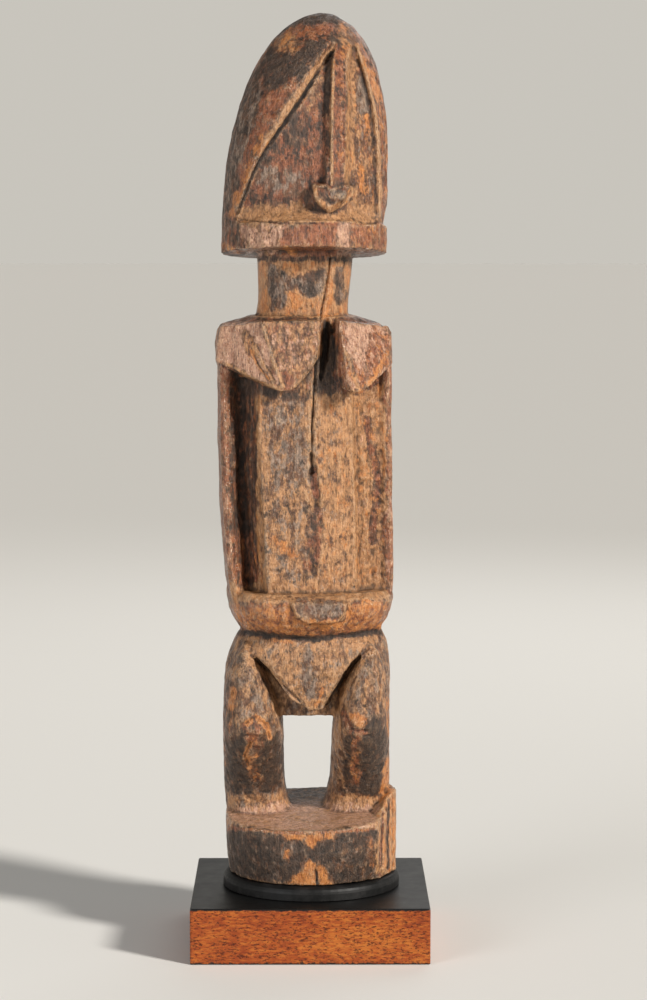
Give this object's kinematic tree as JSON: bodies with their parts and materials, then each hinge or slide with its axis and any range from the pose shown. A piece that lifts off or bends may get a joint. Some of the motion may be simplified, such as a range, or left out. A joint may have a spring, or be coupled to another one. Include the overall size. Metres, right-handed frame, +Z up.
{
  "type": "carved wooden figure",
  "caption": "Standing wooden ancestor figure with a helmet-shaped head, arms joined at a belt and bent legs on a round foot block, on a round pad and a square wooden plinth.",
  "frame": {"origin": "middle of the plinth's underside, which stands on a shelf or table", "axes": "+Z up along the figure; the figure's front looks along -Y; +X is to the right of a viewer who faces its front"},
  "size_m": [0.096, 0.096, 0.3795],
  "materials": {
    "carved_wood": "hand-carved, worn and darkened, satin on the high spots and matt in the hollows",
    "pad_paint": "black paint, satin",
    "plinth_wood": "orange-brown oiled wood with a black-painted top, satin"
  },
  "bodies": {
    "root": {"figure": "carved_wood", "round_pad": "pad_paint", "plinth": "plinth_wood"}
  },
  "joints": []
}
